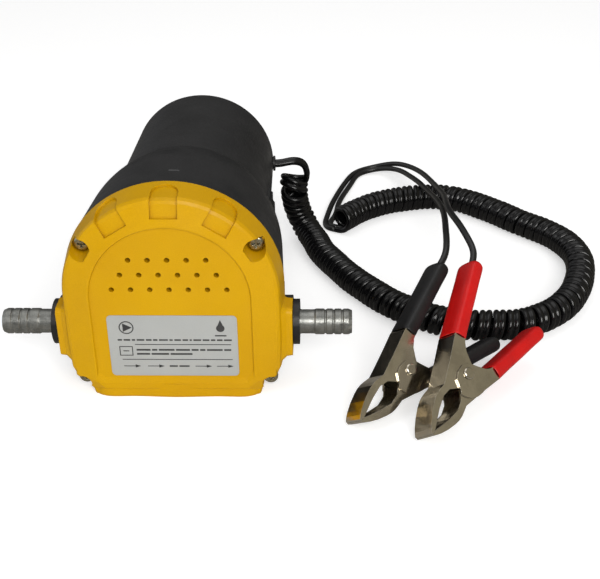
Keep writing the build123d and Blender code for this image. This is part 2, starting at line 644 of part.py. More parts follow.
# (x, y) of the part of the coil that lies on the floor
COIL_FLOOR_Z = 8.3
COIL_FLOOR = [
    (68.2, 117.8), (76.4, 100.7), (84.7, 85.4), (95.5, 70.0), (105.8, 57.4), (116.0, 48.4),
    (126.0, 41.6), (138.5, 36.2), (151.1, 34.4), (161.5, 34.6), (172.1, 36.0), (183.4, 41.3),
    (195.8, 52.0), (204.5, 64.7), (211.4, 81.3), (215.1, 96.3), (215.9, 110.7), (212.4, 125.6),
    (202.7, 141.2), (189.6, 154.1), (179.1, 166.0), (168.1, 177.0), (156.4, 186.2),
    (144.0, 190.8), (131.1, 190.7), (118.1, 187.4), (105.1, 181.6), (95.4, 174.6),
    (85.8, 164.6), (80.2, 157.6)]
CORD_TAIL = [(40.0, 142.0, 53.0), (46.0, 142.2, 53.2), (53.0, 143.6, 53.4),
             (58.2, 146.0, 50.6), (59.6, 147.0, 45.5), (59.4, 146.3, 41.6)]
BLACK_LEAD = [
    (128.46, 28.55, 47.37), (130.37, 31.92, 49.24), (133.3, 41.2, 52.4), (134.5, 53.6, 53.0),
    (135.2, 71.6, 50.8), (136.0, 92.0, 46.2), (135.8, 116.0, 39.4), (134.6, 140.0, 32.4),
    (132.8, 163.0, 25.8), (129.8, 187.0, 20.2), (124.6, 214.0, 13.6), (117.0, 236.5, 7.8),
    (106.5, 246.5, 3.6), (95.0, 243.4, 2.0), (85.6, 227.5, 2.0), (78.6, 207.0, 2.2),
    (74.6, 186.0, 2.6), (72.4, 170.0, 3.4)]
RED_LEAD = [
    (143.34, 22.51, 51.66), (144.51, 26.12, 53.69), (144.7, 36.4, 57.2), (143.2, 50.1, 58.2),
    (142.0, 69.9, 54.8), (141.9, 91.4, 49.7), (141.4, 116.0, 43.4), (139.6, 140.0, 37.0),
    (137.2, 163.0, 30.6), (134.6, 187.0, 24.4), (130.8, 212.0, 17.6), (125.0, 234.0, 11.4),
    (114.5, 249.0, 6.2), (102.0, 252.0, 2.6), (90.0, 245.0, 2.0), (81.4, 229.5, 2.0),
    (74.6, 208.4, 2.2), (70.4, 187.0, 2.6), (68.2, 170.6, 3.4)]


def strain_relief():
    """Bored bush with a flange at each end."""
    relief = cyl_x(3.55, 34.0, 41.4, CABLE_Y, CABLE_Z)
    for x0, x1 in ((40.3, 41.4), (33.0, 34.9)):
        relief = relief + cyl_x(4.4, x0, x1, CABLE_Y, CABLE_Z)
    return relief - cyl_x(2.3, 30, 50, CABLE_Y, CABLE_Z)


def coil_cord():
    path = Spline(*COIL_DROP, *[(x, y, COIL_FLOOR_Z) for x, y in COIL_FLOOR])
    section = Plane(origin=path @ 0, z_dir=path % 0)
    coil = sweep(section * (Circle(COIL_R) - Circle(COIL_IN_R)), path=path)
    return coil + tube(CORD_TAIL, 2.1)


parts["strain_relief"] = strain_relief()
parts["internal_wires"] = group(tube(route, 0.95) for route in WIRES)
parts["coil_cord"] = coil_cord()
parts["black_lead"] = tube(BLACK_LEAD, LEAD_R)
parts["red_lead"] = tube(RED_LEAD, LEAD_R)

# -------------------------------------------------------------- battery clips
# Clip frame: origin on the rivet, local x from rivet to handles between the two
# halves, local y towards the upper half, local z along the rivet.
HANDLE_DIR = (0.9636, 0.267)
HANDLE_NORMAL = (-0.267, 0.9636)
HANDLE_START = (11.5, 12.4)    # start of the handle's straight part
HANDLE_HALF = 2.8              # half height of the handle channel
HANDLE_END = 41
HALF_WIDTH, SHEET = 6.0, 0.8   # half width of the stamped channel, sheet thickness
EAR_CLEAR_R = 9.75             # the lower half is cut back to this around the rivet
RIVET_R = 1.6


def handle_point(along, offset):
    return (HANDLE_START[0] + HANDLE_DIR[0] * along + HANDLE_NORMAL[0] * offset,
            HANDLE_START[1] + HANDLE_DIR[1] * along + HANDLE_NORMAL[1] * offset)


def handle_plane(along, offset=0):
    """Plane across the handle, facing its free end."""
    return Plane(origin=(*handle_point(along, offset), 0), x_dir=(0, 0, 1),
                 z_dir=(*HANDLE_DIR, 0))


# (x, y) of a clip half: the back from jaw tip to handle end, then the edge facing
# the other half, which returns to the tip either round the ears or straight across
BACK = [(-37.6, 0.9), (-36.0, 2.2), (-34.0, 3.5), (-30.0, 5.5), (-25.2, 7.3), (-22.0, 8.1),
        (-19.5, 8.3), (-17.0, 8.1), (-13.5, 7.6), (-6.0, 9.9), (2.0, 12.5),
        handle_point(0, 3.2), handle_point(5, HANDLE_HALF),
        handle_point(HANDLE_END, HANDLE_HALF)]
HANDLE_EDGE = [handle_point(HANDLE_END, -HANDLE_HALF), handle_point(5, -HANDLE_HALF),
               handle_point(0, -3.3), (9.0, 6.2)]
EAR_EDGE = [(6.4, 1.5), (4.6, -2.4), (1.2, -4.7), (-3.6, -5.0), (-7.2, -3.6), (-9.0, -0.4)]
STRAIGHT_EDGE = [(6.9, 1.9), (-7.5, 2.3)]
JAW_EDGE = [(-10.6, 1.3), (-13.5, 3.9), (-18.5, 4.9), (-25.2, 3.5), (-31.0, 1.6),
            (-34.6, 0.3), (-35.4, 0.06), (-37.6, 0.06)]
EARED_OUTLINE = BACK + HANDLE_EDGE + EAR_EDGE + JAW_EDGE
PLAIN_OUTLINE = BACK + HANDLE_EDGE + STRAIGHT_EDGE + JAW_EDGE
# rivet centre, direction of local x, direction of local z
CLIPS = {
    "red": ((133.883, -27.011, 18.008), (0.47, 0.83391, 0.28931),
            (0.56235, -0.53553, 0.63006)),
    "black": ((108.141, -18.615, 15.15), (0.6206, 0.74776, 0.23603),
              (0.5305, -0.62206, 0.57586)),
}


def shifted(points, distance):
    """Polyline moved to the right of its direction of travel."""
    moved = []
    for i, (x, y) in enumerate(points):
        before = points[max(0, i - 1)]
        after = points[min(len(points) - 1, i + 1)]
        dx, dy = after[0] - before[0], after[1] - before[1]
        length = math.hypot(dx, dy)
        moved.append((x + dy / length * distance, y - dx / length * distance))
    return moved


def prism(points, half_width):
    face = make_face(Polyline(*[(x, y, 0) for x, y in points], close=True))
    return Pos(0, 0, -half_width) * extrude(face, 2 * half_width, dir=(0, 0, 1))


def channel_cut():
    """Inside of the stamped channel, open at the end of the handle."""
    inside = shifted(BACK, SHEET)
    end_x, end_y = inside[-1]
    points = [(-36.6, 0.5), (-35.4, 1.6), *inside[2:-1],
              (end_x + HANDLE_DIR[0] * 3, end_y + HANDLE_DIR[1] * 3),
              (54, 10.0), (54, -12.0), (-36.6, -12.0)]
    return prism(points, HALF_WIDTH - SHEET)


def upper_jaw():
    return prism(EARED_OUTLINE, HALF_WIDTH) - channel_cut() - cyl_z(RIVET_R + 0.06, -8, 8)


def lower_jaw():
    """Drawn as an upper half and mirrored; its ears sit outside the upper half's."""
    jaw = prism(PLAIN_OUTLINE, HALF_WIDTH) - cyl_z(EAR_CLEAR_R, -8, 8)
    jaw -= channel_cut()
    ears = prism(EARED_OUTLINE, HALF_WIDTH + 0.9) & cyl_z(11.4, -8, 8)
    ears -= cyl_z(EAR_CLEAR_R, -HALF_WIDTH - 0.1, HALF_WIDTH + 0.1)
    ears -= prism([(-30, -12), (60, -12), (60, 60), (-30, 60)], HALF_WIDTH - SHEET)
    jaw += ears
    jaw -= cyl_z(RIVET_R, -8, 8)
    return mirror(jaw, about=Plane.XZ)


def sleeve(with_lead_hole):
    """Handle grip, closed at its far end apart from the lead hole."""
    start, end = 1.5, 44.6
    plane = handle_plane(start)
    grip = extrude(plane * RectangleRounded(13.8, 9.6, 3.1), end - start)
    end_face = grip.faces().sort_by(Axis((0, 0, 0), (*HANDLE_DIR, 0)))[-1]
    grip = fillet(end_face.edges(), 2.9)
    pocket = extrude(plane * Rectangle(12.12, 2 * HANDLE_HALF + 0.14), 41.2 - start)
    pocket += extrude(handle_plane(0.4) * Rectangle(12.12, 6.9), 4.8)
    grip = grip - pocket
    if with_lead_hole:
        grip -= extrude(plane * Circle(1.95), 60)
    return grip


def torsion_spring():
    wire_r, coil_r, half_height = 0.45, 2.9, 2.8
    coil = Pos(0, 0, -half_height) * sweep(
        Plane(origin=(coil_r, 0, 0), z_dir=(0, 1, 0)) * Circle(wire_r),
        path=Helix(1.12, 2 * half_height, coil_r))

    def arm(side):
        y0, y1 = -0.8 * side, 12.2 * side
        dx, dy = 11.0 - coil_r, y1 - y0
        length = math.hypot(dx, dy)
        return Plane(origin=(coil_r, y0, half_height * side),
                     z_dir=(dx / length, dy / length, 0)) * upright_cyl(wire_r, length)

    return coil + arm(1) + arm(-1)


def rivet():
    pin = cyl_z(RIVET_R, -7.6, 7.6) + cyl_z(2.9, 6.92, 7.9) + cyl_z(2.9, -7.9, -6.92)
    for end in (-1, 0):    # top head, then bottom head
        pin = fillet(pin.edges().filter_by(GeomType.CIRCLE).group_by(Axis.Z)[end], 0.8)
    return pin


def lead_crimp():
    """Barrel in the upper handle, with the end of the lead leaving it."""
    return extrude(handle_plane(20, -0.4) * Circle(2.2), 10) + extrude(
        handle_plane(29, -0.15) * Circle(LEAD_R), 15.9)


CLIP_PIECES = {
    "clip_upper_jaw": upper_jaw(),
    "clip_lower_jaw": lower_jaw(),
    "clip_rivet": rivet(),
    "clip_spring": torsion_spring(),
    "clip_upper_sleeve": sleeve(True),
    "clip_lower_sleeve": mirror(sleeve(False), about=Plane.XZ),
    "lead_crimp": lead_crimp(),
}
for colour, (origin, x_dir, z_dir) in CLIPS.items():
    place = Plane(origin=origin, x_dir=x_dir, z_dir=z_dir).location
    for piece, shape in CLIP_PIECES.items():
        parts[f"{colour}_{piece}"] = place * shape


# --------------------------------------------------------------------- output
def solid_or_compound(shape):
    solids = shape.solids()
    return solids[0] if len(solids) == 1 else Compound(children=list(solids))


os.makedirs("parts", exist_ok=True)
for name, shape in parts.items():
    export_step(solid_or_compound(shape), os.path.join("parts", name + ".step"))
print(len(parts), "parts")
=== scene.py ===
"""Looks of a 12 V fluid transfer pump, built around its CAD pieces.

Metres, +Z up, standing on a floor at z = 0. The rating label faces -Y. The coiled cord leaves the
casing and loops over the floor towards +X, then two leads run on to the red and black battery
clips. Measured sizes below are in mm and become metres through MM.
"""

import math

import bpy
import numpy as np
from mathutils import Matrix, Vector


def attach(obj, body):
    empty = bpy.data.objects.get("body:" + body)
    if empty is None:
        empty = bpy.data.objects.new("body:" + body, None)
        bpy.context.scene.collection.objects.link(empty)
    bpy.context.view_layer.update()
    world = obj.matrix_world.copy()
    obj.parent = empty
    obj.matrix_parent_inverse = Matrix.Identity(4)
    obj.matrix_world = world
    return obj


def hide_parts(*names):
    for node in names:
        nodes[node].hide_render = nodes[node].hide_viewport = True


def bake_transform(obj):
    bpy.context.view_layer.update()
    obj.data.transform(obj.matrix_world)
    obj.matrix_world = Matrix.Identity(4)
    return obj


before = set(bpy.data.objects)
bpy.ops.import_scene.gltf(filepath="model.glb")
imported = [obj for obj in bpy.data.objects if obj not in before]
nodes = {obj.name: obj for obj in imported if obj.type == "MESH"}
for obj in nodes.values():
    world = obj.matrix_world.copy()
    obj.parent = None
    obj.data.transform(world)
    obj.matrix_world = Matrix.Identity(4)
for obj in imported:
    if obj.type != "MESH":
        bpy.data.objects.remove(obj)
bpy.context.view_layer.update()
MM = 0.001

# sizes shared by the cord and the leads
CORE_RADIUS = 1.68
CORE_OFFSET = 1.70      # core centre from the middle of the twin cord


# ---------------------------------------------------------------- shader helpers
def linear(rgb):
    """sRGB 0-255 to linear RGBA."""
    def channel(value):
        value /= 255.0
        return value / 12.92 if value <= 0.04045 else ((value + 0.055) / 1.055) ** 2.4
    return (*(channel(value) for value in rgb), 1.0)


class Nodes:
    """A cleared node tree with short calls for common nodes; inputs are sockets or values."""

    def __init__(self, owner):
        owner.use_nodes = True
        self.tree = owner.node_tree
        self.tree.nodes.clear()

    def new(self, kind, **settings):
        node = self.tree.nodes.new(kind)
        for key, value in settings.items():
            setattr(node, key, value)
        return node

    def put(self, socket, value):
        if isinstance(value, bpy.types.NodeSocket):
            self.tree.links.new(value, socket)
        else:
            socket.default_value = value

    def ranged(self, value, span, to=(0.0, 1.0)):
        """Value mapped from span to another range, clamped."""
        node = self.new("ShaderNodeMapRange", clamp=True)
        self.put(node.inputs["Value"], value)
        for key, limit in zip(("From Min", "From Max", "To Min", "To Max"), (*span, *to)):
            node.inputs[key].default_value = limit
        return node.outputs[0]

    def math(self, op, first, second=0.0, third=None):
        node = self.new("ShaderNodeMath", operation=op)
        self.put(node.inputs[0], first)
        self.put(node.inputs[1], second)
        if third is not None:
            self.put(node.inputs[2], third)
        return node.outputs[0]

    def mix(self, factor, first, second, mode="MIX"):
        node = self.new("ShaderNodeMix", data_type="RGBA", blend_type=mode)
        self.put(node.inputs[0], factor)
        self.put(node.inputs[6], first)
        self.put(node.inputs[7], second)
        return node.outputs[2]

    def separate(self, vector):
        node = self.new("ShaderNodeSeparateXYZ")
        self.put(node.inputs[0], vector)
        return node.outputs


class Shader(Nodes):
    """A Principled material in object coordinates."""

    def __init__(self, name):
        self.mat = bpy.data.materials.new(name)
        super().__init__(self.mat)
        out = self.new("ShaderNodeOutputMaterial")
        self.bsdf = self.new("ShaderNodeBsdfPrincipled")
        self.put(out.inputs[0], self.bsdf.outputs[0])
        self.coords = self.new("ShaderNodeTexCoord").outputs["Object"]

    def noise(self, scale, detail=3.0, rough=0.55, vector=None):
        node = self.new("ShaderNodeTexNoise")
        self.put(node.inputs["Vector"], vector or self.coords)
        node.inputs["Scale"].default_value = scale
        node.inputs["Detail"].default_value = detail
        node.inputs["Roughness"].default_value = rough
        return node.outputs[0]

    def streaks(self, scale, rotation=(0, 0, 0)):
        """Noise in stretched coordinates; scale is cycles per metre on each axis."""
        node = self.new("ShaderNodeMapping")
        self.put(node.inputs["Vector"], self.coords)
        node.inputs["Scale"].default_value = scale
        node.inputs["Rotation"].default_value = rotation
        return self.noise(scale=1.0, detail=3.0, rough=0.6, vector=node.outputs[0])

    def cells(self, scale):
        """Distance to the nearest cell centre."""
        node = self.new("ShaderNodeTexVoronoi", feature="F1")
        self.put(node.inputs["Vector"], self.coords)
        node.inputs["Scale"].default_value = scale
        return node.outputs["Distance"]

    def bump(self, height, distance, normal=None):
        node = self.new("ShaderNodeBump")
        node.inputs["Strength"].default_value = 1.0
        node.inputs["Distance"].default_value = distance
        self.put(node.inputs["Height"], height)
        if normal is not None:
            self.put(node.inputs["Normal"], normal)
        return node.outputs[0]

    def rounded(self, radius):
        """Normal rounded over sharp edges."""
        node = self.new("ShaderNodeBevel", samples=4)
        node.inputs["Radius"].default_value = radius
        return node.outputs[0]

    def edge_mask(self, rounded_normal):
        """A 0-1 mask, high where the rounded normal leaves the true one."""
        true_normal = self.new("ShaderNodeNewGeometry").outputs["Normal"]
        dot = self.new("ShaderNodeVectorMath", operation="DOT_PRODUCT")
        self.put(dot.inputs[0], rounded_normal)
        self.put(dot.inputs[1], true_normal)
        return self.ranged(dot.outputs["Value"], span=(0.985, 0.86))

    def hollows(self, distance):
        """A 0-1 mask from ambient occlusion, high in crevices where shade falls."""
        node = self.new("ShaderNodeAmbientOcclusion", samples=4)
        node.inputs["Distance"].default_value = distance
        return self.ranged(node.outputs["AO"], span=(0.75, 0.3))

    def finish(self, **values):
        """Fill the Principled inputs and hand over the material."""
        for key, value in values.items():
            self.put(self.bsdf.inputs[key.replace("_", " ")], value)
        return self.mat


def surface(name, tones, rough, mottle, grain, depth, rounding, metal=0.0, wear=None, shade_and_dirt=None,
            streak=None, spec=0.5, coat=0.0, speckle=0.10, highlight_band=None):
    """Two-tone mottling with fine grain, rounded edges, and optional worn edges and painted shade
    with dirt in the crevices.

    mottle, grain, streak: cycles per metre. depth (bump), rounding: mm. speckle: share by which
    grain varies the colour. wear: (colour, share). shade_and_dirt: (colour, reach in mm), painted
    shade and dirt laid into the crevices.
    highlight_band: (y, half width, colour) in mm, a soft lighter stripe across Y, a painted
    highlight.
    """
    s = Shader(name)
    mottling = s.ranged(s.noise(mottle, detail=4.0), span=(0.34, 0.66))
    colour = s.mix(mottling, linear(tones[0]), linear(tones[1]))
    fine = s.noise(grain, detail=2.0, rough=0.6)
    dots = s.ranged(fine, span=(0.3, 0.7), to=(1.0 - speckle, 1.0 + speckle))
    grey = s.new("ShaderNodeCombineColor")
    for i in range(3):
        s.put(grey.inputs[i], dots)
    colour = s.mix(1.0, colour, grey.outputs[0], mode="MULTIPLY")
    # painted highlight: a lighter stripe across Y along the casing's crease
    if highlight_band is not None:
        highlight_y, half_width, highlight_colour = highlight_band
        away = s.math("ABSOLUTE", s.math("SUBTRACT", s.separate(s.coords)["Y"], highlight_y * MM))
        share = s.ranged(away, span=(half_width * MM, 0.0), to=(0.0, 0.7))
        colour = s.mix(share, colour, linear(highlight_colour))
    normal = s.rounded(rounding * MM)
    patch = s.ranged(s.noise(mottle * 3.1, detail=5.0, rough=0.65), span=(0.40, 0.62))
    roughness = s.ranged(patch, span=(0.0, 1.0), to=rough)
    if wear is not None:
        wear_colour, wear_share = wear
        worn = s.math("MULTIPLY", s.edge_mask(normal), patch)
        colour = s.mix(s.math("MULTIPLY", worn, wear_share), colour, linear(wear_colour))
    # painted shade: ambient occlusion darkens the crevices, made patchy and a little rougher like
    # dirt
    if shade_and_dirt is not None:
        shade_and_dirt_colour, reach = shade_and_dirt
        patchy = s.ranged(patch, span=(0.0, 1.0), to=(0.35, 0.75))
        shade_and_soil = s.math("MULTIPLY", s.hollows(reach * MM), patchy)
        colour = s.mix(shade_and_soil, colour, linear(shade_and_dirt_colour))
        roughness = s.math("ADD", roughness, s.math("MULTIPLY", shade_and_soil, 0.2))
    height = fine
    if streak is not None:
        lines = s.streaks(streak)
        height = s.math("ADD", s.math("MULTIPLY", fine, 0.4), lines)
        line_rough = s.ranged(lines, span=(0.3, 0.7), to=(-0.05, 0.06))
        roughness = s.math("ADD", roughness, line_rough)
    return s.finish(Base_Color=colour, Roughness=roughness, Metallic=metal,
                    Specular_IOR_Level=spec, Normal=s.bump(height, depth * MM, normal),
                    Coat_Weight=coat, Coat_Roughness=0.15)


def bright_plate(name):
    """Bright nickel plate on stamped sheet: faint drawing lines, haze, painted shade and grime in
    the hollows.
    """
    s = Shader(name)
    haze = s.ranged(s.noise(scale=90.0, detail=5.0, rough=0.6), span=(0.38, 0.66))
    lines = s.streaks(scale=(700.0, 160.0, 700.0), rotation=(0.5, 0.3, 0.9))
    pits = s.ranged(s.cells(scale=900.0), span=(0.02, 0.16))
    normal = s.rounded(0.14 * MM)
    colour = s.mix(haze, linear((216, 209, 194)), linear((194, 187, 172)))
    # painted shade: ambient occlusion darkens the hollows, mixed with grime
    shade_and_grime = s.math("MULTIPLY", s.hollows(2.0 * MM), 0.55)
    colour = s.mix(shade_and_grime, colour, linear((92, 86, 74)))
    worn = s.math("MULTIPLY", s.edge_mask(normal), 0.25)
    colour = s.mix(worn, colour, linear((232, 229, 222)))
    rough = s.math("ADD", s.ranged(haze, span=(0.0, 1.0), to=(0.12, 0.20)),
                   s.ranged(lines, span=(0.3, 0.7), to=(-0.02, 0.05)))
    height = s.math("ADD", lines, s.math("MULTIPLY", pits, 0.3))
    return s.finish(Base_Color=colour, Metallic=1.0, Roughness=rough,
                    Normal=s.bump(height, 0.006 * MM, normal))


# ---------------------------------------------------------------- materials of the pieces
# the crevice colours below are painted shade mixed with dirt
SURFACES = {
    "yellow_abs": dict(
        tones=((194, 148, 2), (188, 141, 2)), rough=(0.30, 0.42), mottle=26.0, grain=1900.0,
        depth=0.016, rounding=0.45, wear=((206, 162, 26), 0.5), shade_and_dirt=((128, 78, 6), 2.2),
        spec=0.14, speckle=0.05),
    "housing_abs": dict(
        tones=((40, 40, 41), (35, 35, 36)), rough=(0.40, 0.54), mottle=22.0, grain=1700.0,
        depth=0.035, rounding=0.5, wear=((74, 74, 76), 0.6), shade_and_dirt=((24, 24, 25), 3.0),
        # the lighter stripe at y 62.5 mm is a painted highlight on the crease
        spec=0.40, speckle=0.12, highlight_band=(62.5, 2.6, (70, 70, 72))),
    "label_film": dict(
        tones=((166, 168, 166), (161, 163, 161)), rough=(0.34, 0.44), metal=0.08, mottle=40.0,
        grain=2600.0, depth=0.003, rounding=0.08, spec=0.3, speckle=0.03),
    "label_ink": dict(
        tones=((44, 44, 45), (56, 56, 57)), rough=(0.45, 0.6), mottle=300.0, grain=3000.0,
        depth=0.003, rounding=0.02),
    "black_moulding": dict(
        tones=((19, 19, 20), (25, 25, 26)), rough=(0.34, 0.5), mottle=90.0, grain=2200.0,
        depth=0.02, rounding=0.3, wear=((62, 62, 64), 0.4)),
    "zinc_screw": dict(
        tones=((196, 190, 160), (168, 165, 148)), rough=(0.22, 0.38), metal=1.0, mottle=500.0,
        grain=2600.0, depth=0.01, rounding=0.25, wear=((236, 232, 220), 0.8),
        shade_and_dirt=((60, 52, 36), 1.2)),
    "cast_aluminium": dict(
        tones=((150, 151, 150), (128, 130, 130)), rough=(0.42, 0.6), metal=0.85, mottle=160.0,
        grain=1500.0, depth=0.05, rounding=0.3, shade_and_dirt=((60, 60, 58), 2.0)),
    "barb_alloy": dict(
        tones=((150, 151, 147), (124, 125, 122)), rough=(0.30, 0.46), metal=0.85, mottle=240.0,
        grain=1600.0, depth=0.04, rounding=0.25, wear=((184, 184, 180), 0.8),
        shade_and_dirt=((44, 44, 43), 1.4), speckle=0.16),
    "nitrile": dict(
        tones=((28, 28, 30), (38, 38, 40)), rough=(0.6, 0.75), mottle=200.0, grain=1500.0,
        depth=0.03, rounding=0.15),
    "sintered_steel": dict(
        tones=((150, 148, 142), (118, 117, 113)), rough=(0.3, 0.45), metal=1.0, mottle=300.0,
        grain=3000.0, depth=0.012, rounding=0.15, wear=((210, 208, 204), 0.8),
        shade_and_dirt=((40, 36, 30), 1.5)),
    "bronze": dict(
        tones=((176, 128, 66), (150, 104, 52)), rough=(0.28, 0.42), metal=1.0, mottle=300.0,
        grain=2400.0, depth=0.01, rounding=0.15),
    "zinc_plate": dict(
        tones=((178, 182, 186), (156, 161, 168)), rough=(0.24, 0.4), metal=1.0, mottle=120.0,
        grain=2000.0, depth=0.01, rounding=0.3, streak=(1400.0, 60.0, 1400.0)),
    "moulded_nylon": dict(
        tones=((222, 218, 204), (206, 201, 186)), rough=(0.4, 0.55), mottle=120.0, grain=2000.0,
        depth=0.015, rounding=0.2),
    "laminations": dict(
        tones=((112, 114, 118), (88, 90, 95)), rough=(0.35, 0.5), metal=0.9, mottle=260.0,
        grain=2000.0, depth=0.02, rounding=0.1, streak=(40.0, 2000.0, 40.0)),
    "copper_winding": dict(
        tones=((196, 98, 48), (160, 70, 34)), rough=(0.22, 0.36), metal=1.0, mottle=320.0,
        grain=1800.0, depth=0.02, rounding=0.1, streak=(1600.0, 60.0, 1600.0), coat=0.4),
    "ferrite": dict(
        tones=((58, 60, 64), (44, 46, 50)), rough=(0.5, 0.65), metal=0.1, mottle=180.0,
        grain=2200.0, depth=0.02, rounding=0.2),
    "carbon_brush": dict(
        tones=((44, 42, 42), (34, 33, 33)), rough=(0.5, 0.62), metal=0.2, mottle=600.0,
        grain=3000.0, depth=0.015, rounding=0.1),
    "brass_sheet": dict(
        tones=((204, 170, 92), (184, 148, 74)), rough=(0.25, 0.38), metal=1.0, mottle=260.0,
        grain=2400.0, depth=0.008, rounding=0.12),
    "spring_wire": dict(
        tones=((180, 180, 178), (140, 140, 140)), rough=(0.2, 0.34), metal=1.0, mottle=500.0,
        grain=2600.0, depth=0.006, rounding=0.1),
    "switch_plastic": dict(
        tones=((16, 16, 17), (21, 21, 22)), rough=(0.20, 0.32), mottle=140.0, grain=2600.0,
        depth=0.008, rounding=0.25, wear=((58, 58, 60), 0.35)),
    "cord_pvc": dict(
        tones=((8, 8, 9), (11, 11, 12)), rough=(0.16, 0.26), mottle=160.0, grain=1500.0,
        depth=0.012, rounding=0.1, wear=((36, 36, 38), 0.12), spec=0.38, speckle=0.2),
    "lead_pvc": dict(
        tones=((15, 15, 16), (20, 20, 21)), rough=(0.28, 0.40), mottle=120.0, grain=1500.0,
        depth=0.015, rounding=0.1, speckle=0.15),
    "red_pvc": dict(
        tones=((192, 15, 12), (174, 10, 10)), rough=(0.28, 0.40), mottle=60.0, grain=1300.0,
        depth=0.02, rounding=0.35, wear=((214, 60, 50), 0.25), shade_and_dirt=((80, 5, 7), 2.5),
        spec=0.34, speckle=0.05),
    "black_pvc": dict(
        tones=((23, 23, 24), (29, 29, 30)), rough=(0.36, 0.48), mottle=60.0, grain=1300.0,
        depth=0.025, rounding=0.35, wear=((56, 56, 58), 0.3), spec=0.34, speckle=0.12),
}
materials = {name: surface(name, **look) for name, look in SURFACES.items()}
materials["clip_plate"] = bright_plate("clip_plate")

PIECES = {  # CAD pieces by material
    "yellow_abs": "front_cover",
    "label_film": "rating_label",
    "housing_abs": "rear_housing",
    "zinc_screw": "cover_screws pump_cover_screws motor_mount_screws",
    "sintered_steel": "drive_gear driven_gear idler_pin motor_shaft",
    "cast_aluminium": "pump_body pump_cover_plate",
    "nitrile": "pump_cover_gasket shaft_seal port_seals",
    "bronze": "pump_bush front_bearing rear_bearing",
    "zinc_plate": "motor_can",
    "ferrite": "field_magnets",
    "laminations": "armature_core",
    "copper_winding": "armature_windings commutator",
    "moulded_nylon": "motor_end_cap",
    "carbon_brush": "brushes",
    "brass_sheet": "brush_holders motor_terminals switch_terminals red_lead_crimp black_lead_crimp",
    "spring_wire": "brush_springs red_clip_spring black_clip_spring",
    "barb_alloy": "outlet_barb inlet_barb",
    "black_moulding": "outlet_collar inlet_collar",
    "switch_plastic": "switch_body switch_rocker",
    "black_pvc": "strain_relief black_clip_upper_sleeve black_clip_lower_sleeve",
    "red_pvc": "red_clip_upper_sleeve red_clip_lower_sleeve",
    "lead_pvc": "internal_wires black_lead red_lead",
    "cord_pvc": "coil_cord",
    "clip_plate": "red_clip_upper_jaw red_clip_lower_jaw red_clip_rivet "
                  "black_clip_upper_jaw black_clip_lower_jaw black_clip_rivet",
}
material_of = {piece: name for name, pieces in PIECES.items() for piece in pieces.split()}
for name, obj in nodes.items():
    obj.data.materials.clear()
    obj.data.materials.append(materials[material_of[name]])
    for polygon in obj.data.polygons:
        polygon.material_index = 0


# ---------------------------------------------------------------- mesh helpers
def mesh_object(name, verts, faces, mat, smooth=True):
    """A linked object from vertices in mm."""
    mesh = bpy.data.meshes.new(name)
    mesh.from_pydata([tuple(float(c) * MM for c in vert) for vert in verts], [], faces)
    mesh.validate()
    mesh.update()
    obj = bpy.data.objects.new(name, mesh)
    bpy.context.scene.collection.objects.link(obj)
    mesh.materials.append(mat)
    for polygon in mesh.polygons:
        polygon.use_smooth = smooth
    return obj


def tube_faces(rings, size, flip=False):
    """Quads between rings of vertices, then the two end caps; flip turns them inside out."""
    faces = []
    for i in range(rings - 1):
        for j in range(size):
            a, b = i * size + j, i * size + (j + 1) % size
            faces.append((a, b, b + size, a + size) if flip else (a, a + size, b + size, b))
    first, last = tuple(range(size)), tuple(range((rings - 1) * size, rings * size))
    return faces + ([first[::-1], last] if flip else [first, last[::-1]])


def arc_lengths(points):
    return np.concatenate([[0.0], np.cumsum(np.linalg.norm(np.diff(points, axis=0), axis=1))])


def spline(points, step):
    """Natural cubic spline resampled at equal arc length: its points and their arc lengths."""
    knots = np.array(points, float)
    at_knot = arc_lengths(knots)
    count, gap = len(knots), np.diff(at_knot)
    # second derivatives at the knots, zero at both ends
    system, rhs = np.zeros((count, count)), np.zeros((count, 3))
    system[0, 0] = system[-1, -1] = 1.0
    for i in range(1, count - 1):
        system[i, i - 1:i + 2] = gap[i - 1], 2 * (gap[i - 1] + gap[i]), gap[i]
        rhs[i] = 6 * ((knots[i + 1] - knots[i]) / gap[i] - (knots[i] - knots[i - 1]) / gap[i - 1])
    second = np.linalg.solve(system, rhs)
    dense = np.linspace(0, at_knot[-1], max(50, int(at_knot[-1] / step) * 6))
    k = np.clip(np.searchsorted(at_knot, dense, side="right") - 1, 0, count - 2)
    span = gap[k][:, None]
    after, before = (dense - at_knot[k])[:, None], (at_knot[k + 1] - dense)[:, None]
    curve = ((second[k] * before ** 3 + second[k + 1] * after ** 3) / (6 * span)
             + (knots[k] / span - second[k] * span / 6) * before
             + (knots[k + 1] / span - second[k + 1] * span / 6) * after)
    length = arc_lengths(curve)
    even = np.linspace(0, length[-1], max(2, int(round(length[-1] / step)) + 1))
    return np.stack([np.interp(even, length, curve[:, i]) for i in range(3)], 1), even


def hermite(start, start_slope, end, end_slope, count):
    u = np.linspace(0, 1, count)[:, None]
    return ((2 * u ** 3 - 3 * u ** 2 + 1) * start + (u ** 3 - 2 * u ** 2 + u) * start_slope
            + (-2 * u ** 3 + 3 * u ** 2) * end + (u ** 3 - u ** 2) * end_slope)


def unit(vector):
    return vector / np.linalg.norm(vector)


def tangents(path):
    slope = np.gradient(path, axis=0)
    return slope / np.linalg.norm(slope, axis=1)[:, None]


def carried(directions, first):
    """A side direction carried along the tangents without twist."""
    out = np.zeros_like(directions)
    side = np.array(first, float)
    for i, ahead in enumerate(directions):
        side = side - (side @ ahead) * ahead
        side /= np.linalg.norm(side)
        out[i] = side
    return out


